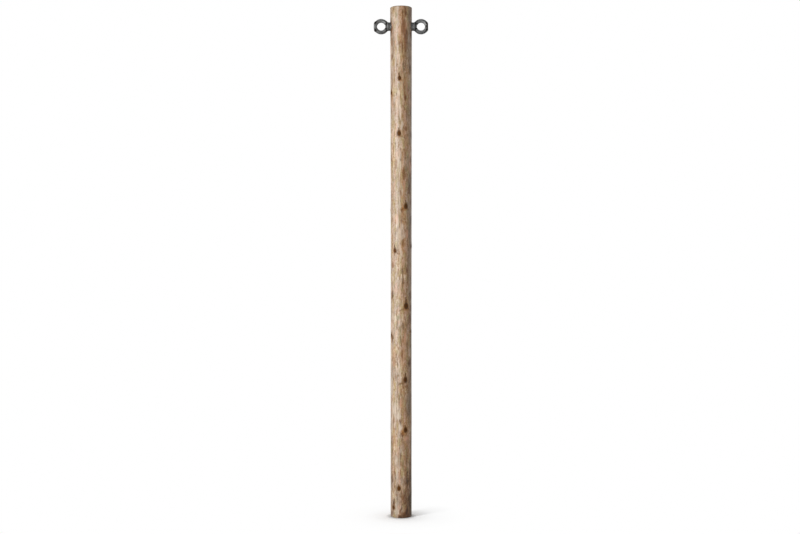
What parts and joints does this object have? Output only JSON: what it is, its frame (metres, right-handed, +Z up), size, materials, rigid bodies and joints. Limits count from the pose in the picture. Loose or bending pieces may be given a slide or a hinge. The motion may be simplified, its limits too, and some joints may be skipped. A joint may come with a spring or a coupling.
{
  "type": "wooden post",
  "caption": "Tall round peeled-log post with a forged steel eye nut on each side of its head, for hanging ropes, awnings or hammocks.",
  "frame": {"origin": "centre of the flat foot face", "axes": "+Z up the post, +X through the two eyes from left to right, -Y is the front"},
  "size_m": [0.3258, 0.1279, 3],
  "materials": {
    "peeled_log": "peeled softwood, dry, dull, with vertical drying checks and dark knots",
    "galvanised_steel": "zinc coated, dull grey",
    "forged_steel": "forged and zinc coated, dark dull grey, softly uneven"
  },
  "bodies": {
    "root": {"post_log": "peeled_log", "threaded_rod": "galvanised_steel", "washer_left": "galvanised_steel", "washer_right": "galvanised_steel", "eye_nut_left": "forged_steel", "eye_nut_right": "forged_steel"}
  },
  "joints": []
}
